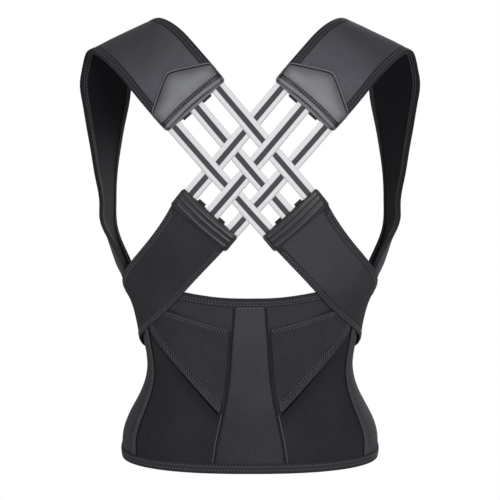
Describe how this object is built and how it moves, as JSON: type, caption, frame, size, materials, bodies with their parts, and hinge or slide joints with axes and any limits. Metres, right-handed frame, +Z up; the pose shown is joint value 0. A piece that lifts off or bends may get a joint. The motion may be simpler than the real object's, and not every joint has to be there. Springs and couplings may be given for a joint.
{
  "type": "back brace",
  "caption": "Posture back brace: a waist belt with wings, crossed straps, a woven elastic back lattice and two padded shoulder straps, closed in front by hook-and-loop flaps.",
  "frame": {"origin": "middle of the overall box at the hem, the level on which the brace stands", "axes": "+Z up towards the shoulders, -Y out of the wearer's back, +X to the wearer's right"},
  "size_m": [0.4488, 0.2582, 0.5784],
  "materials": {
    "backing_leather": "dark backing leather, smooth",
    "patch_leather": "grey grained artificial leather",
    "tab_leather": "dark grey pressed artificial leather with ridges",
    "white_elastic": "white woven elastic with a dark grey middle stripe",
    "stay_steel": "spring steel stay",
    "loop_pile": "brushed loop pile",
    "hook_tape": "moulded hook tape",
    "grip_rubber": "matt rubber grip",
    "binding_tape": "folded knit tape with coverstitch",
    "strap_fabric": "dark grey knit laminated to foam",
    "piping": "dark covered cord",
    "belt_fabric": "dark grey elastic knit"
  },
  "bodies": {
    "brace_body": {"back_center_panel": "belt_fabric", "back_panel_left": "belt_fabric", "back_panel_right": "belt_fabric", "belt_hem_binding": "binding_tape", "belt_top_binding": "binding_tape", "center_piping_left": "piping", "center_piping_right": "piping", "cross_strap_hems_left": "binding_tape", "cross_strap_hems_right": "binding_tape", "cross_strap_left": "strap_fabric", "cross_strap_right": "strap_fabric", "elastic_band_a1": "white_elastic", "elastic_band_a2": "white_elastic", "elastic_band_a3": "white_elastic", "elastic_band_b1": "white_elastic", "elastic_band_b2": "white_elastic", "elastic_band_b3": "white_elastic", "lower_tab_backing_left": "backing_leather", "lower_tab_backing_right": "backing_leather", "lower_tab_left": "tab_leather", "lower_tab_right": "tab_leather", "shoulder_bindings_left": "binding_tape", "shoulder_bindings_right": "binding_tape", "shoulder_lining_left": "loop_pile", "shoulder_lining_right": "loop_pile", "shoulder_strap_left": "strap_fabric", "shoulder_strap_right": "strap_fabric", "side_panel_left": "belt_fabric", "side_panel_right": "belt_fabric", "side_stay_left": "stay_steel", "side_stay_right": "stay_steel", "stay_channel_left": "belt_fabric", "stay_channel_right": "belt_fabric", "support_wing_left": "belt_fabric", "support_wing_right": "belt_fabric", "upper_patch_backing_left": "backing_leather", "upper_patch_backing_right": "backing_leather", "upper_patch_left": "patch_leather", "upper_patch_right": "patch_leather"},
    "right_front_flap": {"front_flap_right": "belt_fabric", "front_flap_bindings_right": "binding_tape", "strap_loop_pad_right": "loop_pile", "closure_hook_panel": "hook_tape"},
    "left_front_flap": {"front_flap_left": "belt_fabric", "front_flap_bindings_left": "binding_tape", "strap_loop_pad_left": "loop_pile", "closure_loop_panel": "loop_pile"},
    "right_strap_end": {"strap_end_right": "strap_fabric", "strap_hook_tab_right": "hook_tape", "strap_grip_tab_right": "grip_rubber"},
    "left_strap_end": {"strap_end_left": "strap_fabric", "strap_hook_tab_left": "hook_tape", "strap_grip_tab_left": "grip_rubber"}
  },
  "joints": [
    {"name": "right_flap_fold", "type": "hinge", "parent": "brace_body", "child": "right_front_flap", "pos_m": [0.1315, 0.0925, 0], "axis": [0, 0, -1], "range_deg": [0, 85]},
    {"name": "left_flap_fold", "type": "hinge", "parent": "brace_body", "child": "left_front_flap", "pos_m": [-0.1315, 0.0925, 0], "axis": [0, 0, 1], "range_deg": [0, 60]},
    {"name": "right_strap_peel", "type": "hinge", "parent": "right_front_flap", "child": "right_strap_end", "pos_m": [0.113, 0.08, 0.15], "axis": [0, 0, -1], "range_deg": [0, 60]},
    {"name": "left_strap_peel", "type": "hinge", "parent": "left_front_flap", "child": "left_strap_end", "pos_m": [-0.113, 0.08, 0.15], "axis": [0, 0, 1], "range_deg": [0, 60]}
  ],
  "couplings": [
    {"joint": "left_flap_fold", "follows": "right_flap_fold", "ratio": 0.6}
  ]
}
